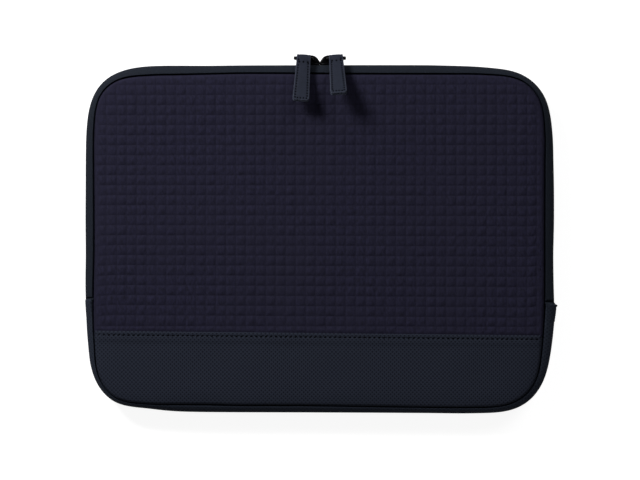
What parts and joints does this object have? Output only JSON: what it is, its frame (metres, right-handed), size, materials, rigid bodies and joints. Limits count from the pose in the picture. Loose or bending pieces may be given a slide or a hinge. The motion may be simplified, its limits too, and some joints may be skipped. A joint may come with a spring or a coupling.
{
  "type": "laptop sleeve",
  "caption": "Padded laptop sleeve with a zip round three sides, a flap front that folds open, sliders on the top edge and leather pulls on wire rings.",
  "frame": {"origin": "middle of the flat back face, which lies on the table", "axes": "+X across the sleeve to its right edge, +Y to the zipped top edge, +Z out of the front face"},
  "size_m": [0.3514, 0.2669, 0.045],
  "materials": {
    "embossed_cloth": "matt cloth embossed with a grid of small pillows",
    "dobby_cloth": "matt coated dobby cloth with small diamonds",
    "foam": "soft closed-cell foam",
    "lining_cloth": "brushed nylon lining",
    "binding_tape": "woven binding tape",
    "zip_tape": "woven polyester tape",
    "zip_coil": "polyester monofilament coil",
    "black_metal": "black lacquered die cast zinc and wire",
    "pull_leather": "fine grained leather, sewn round the edge"
  },
  "bodies": {
    "back_shell": {"back_skin": "dobby_cloth", "back_foam": "foam", "back_lining": "lining_cloth", "front_skin_base": "embossed_cloth", "lower_panel": "dobby_cloth", "front_foam_base": "foam", "front_lining_base": "lining_cloth", "lower_wall": "dobby_cloth", "lower_wall_foam": "foam", "lower_wall_lining": "lining_cloth", "zip_end_cuffs": "dobby_cloth", "zip_tape_rear": "zip_tape", "zip_coil_rear": "zip_coil", "zip_stops_rear": "black_metal", "binding_base": "binding_tape", "binding_rear": "binding_tape"},
    "front_flap": {"front_skin_flap": "embossed_cloth", "front_foam_flap": "foam", "front_lining_flap": "lining_cloth", "zip_tape_front": "zip_tape", "zip_coil_front": "zip_coil", "zip_stops_front": "black_metal", "binding_flap": "binding_tape"},
    "left_slider": {"slider_left": "black_metal"},
    "right_slider": {"slider_right": "black_metal"},
    "left_ring": {"ring_left": "black_metal"},
    "right_ring": {"ring_right": "black_metal"},
    "left_pull": {"pull_left": "pull_leather"},
    "right_pull": {"pull_right": "pull_leather"}
  },
  "joints": [
    {"name": "flap_open", "type": "hinge", "parent": "back_shell", "child": "front_flap", "pos_m": [0, -0.045, 0.024], "axis": [1, 0, 0], "range_deg": [0, 100]},
    {"name": "left_slider_run", "type": "slide", "parent": "front_flap", "child": "left_slider", "axis": [-1, 0, 0], "range_m": [0, 0.08]},
    {"name": "right_slider_run", "type": "slide", "parent": "front_flap", "child": "right_slider", "axis": [1, 0, 0], "range_m": [0, 0.08]},
    {"name": "left_ring_swing", "type": "hinge", "parent": "left_slider", "child": "left_ring", "pos_m": [-0.0059, 0.134, 0.012], "axis": [0, 0, -1], "range_deg": [-6, 66]},
    {"name": "right_ring_swing", "type": "hinge", "parent": "right_slider", "child": "right_ring", "pos_m": [0.0059, 0.134, 0.012], "axis": [0, 0, 1], "range_deg": [-6, 66]},
    {"name": "left_pull_lift", "type": "hinge", "parent": "left_ring", "child": "left_pull", "pos_m": [-0.01204, 0.13439, 0.022], "axis": [-0.998, 0.0628, 0], "range_deg": [-8.5, 77.5]},
    {"name": "right_pull_lift", "type": "hinge", "parent": "right_ring", "child": "right_pull", "pos_m": [0.01204, 0.13439, 0.022], "axis": [-0.998, -0.0628, 0], "range_deg": [-23.5, 62.5]}
  ]
}
